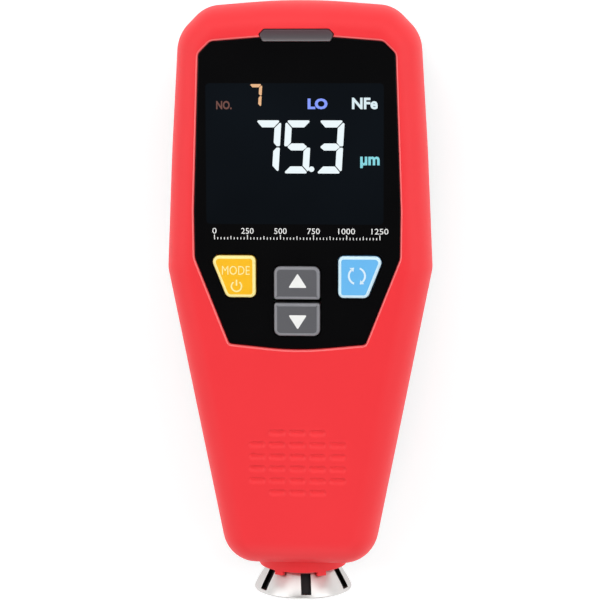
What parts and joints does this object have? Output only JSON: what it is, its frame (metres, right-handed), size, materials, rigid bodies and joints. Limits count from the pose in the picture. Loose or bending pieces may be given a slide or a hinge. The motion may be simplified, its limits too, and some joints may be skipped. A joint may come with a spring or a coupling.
{
  "type": "coating thickness gauge",
  "caption": "Hand-held coating thickness gauge with a moulded case, display panel, push keys, sliding battery cover and a sprung measuring head in a windowed skirt.",
  "frame": {"origin": "middle of the part's box on the plane of the flat back that it lies on", "axes": "+X to the right of the display, +Y from the probe to the top edge, +Z out of the display"},
  "size_m": [0.054, 0.123, 0.028],
  "materials": {
    "red_abs": "fine moulded texture, satin",
    "dark_abs": "fine moulded texture",
    "panel_acrylic": "polished, back-printed black",
    "lens_acrylic": "diffusing",
    "yellow_key": "satin, printed legend",
    "blue_key": "satin, printed legend",
    "grey_key": "satin, printed legend",
    "zinc_steel": "zinc plated",
    "board_laminate": "solder mask",
    "display_glass": "polarised display glass",
    "white_plastic": "moulded",
    "silicone": "matt",
    "black_plastic": "moulded",
    "chrome_plate": "polished plating",
    "tip_steel": "ground",
    "copper_wire": "enamelled winding",
    "cell_jacket": "plain film jacket"
  },
  "bodies": {
    "case": {"front_housing": "red_abs", "rear_housing": "dark_abs", "front_panel": "panel_acrylic", "indicator_lens": "lens_acrylic", "case_screws": "zinc_steel", "main_board": "board_laminate", "board_screws": "zinc_steel", "lcd_glass": "display_glass", "lcd_frame": "white_plastic", "backlight_panel": "white_plastic", "contact_strip": "silicone", "display_gasket": "silicone", "key_switches": "black_plastic", "indicator_led": "white_plastic", "board_chips": "black_plastic", "beeper": "black_plastic", "probe_sleeve": "chrome_plate", "probe_guide": "tip_steel", "probe_spring": "tip_steel", "probe_cap": "black_plastic", "probe_connector": "white_plastic", "probe_lead": "silicone", "cell_left": "cell_jacket", "cell_right": "cell_jacket", "bridge_contact": "tip_steel", "positive_contact": "tip_steel", "negative_contact": "tip_steel"},
    "mode_button": {"mode_key": "yellow_key"},
    "zero_button": {"zero_key": "blue_key"},
    "up_button": {"up_key": "grey_key"},
    "down_button": {"down_key": "grey_key"},
    "cover": {"battery_cover": "dark_abs"},
    "probe_head": {"probe_carrier": "black_plastic", "probe_core": "tip_steel", "probe_coil": "copper_wire"}
  },
  "joints": [
    {"name": "mode_press", "type": "slide", "parent": "case", "child": "mode_button", "axis": [0, 0, -1], "range_m": [0, 0.0005], "stiffness_N_per_m": 1500},
    {"name": "zero_press", "type": "slide", "parent": "case", "child": "zero_button", "axis": [0, 0, -1], "range_m": [0, 0.0005], "stiffness_N_per_m": 1500},
    {"name": "up_press", "type": "slide", "parent": "case", "child": "up_button", "axis": [0, 0, -1], "range_m": [0, 0.0005], "stiffness_N_per_m": 1500},
    {"name": "down_press", "type": "slide", "parent": "case", "child": "down_button", "axis": [0, 0, -1], "range_m": [0, 0.0005], "stiffness_N_per_m": 1500},
    {"name": "cover_slide", "type": "slide", "parent": "case", "child": "cover", "axis": [0, 1, 0], "range_m": [0, 0.062]},
    {"name": "probe_press", "type": "slide", "parent": "case", "child": "probe_head", "axis": [0, 1, 0], "range_m": [0, 0.0015], "stiffness_N_per_m": 400, "springref_m": -0.001, "deforming": ["probe_spring"]}
  ]
}
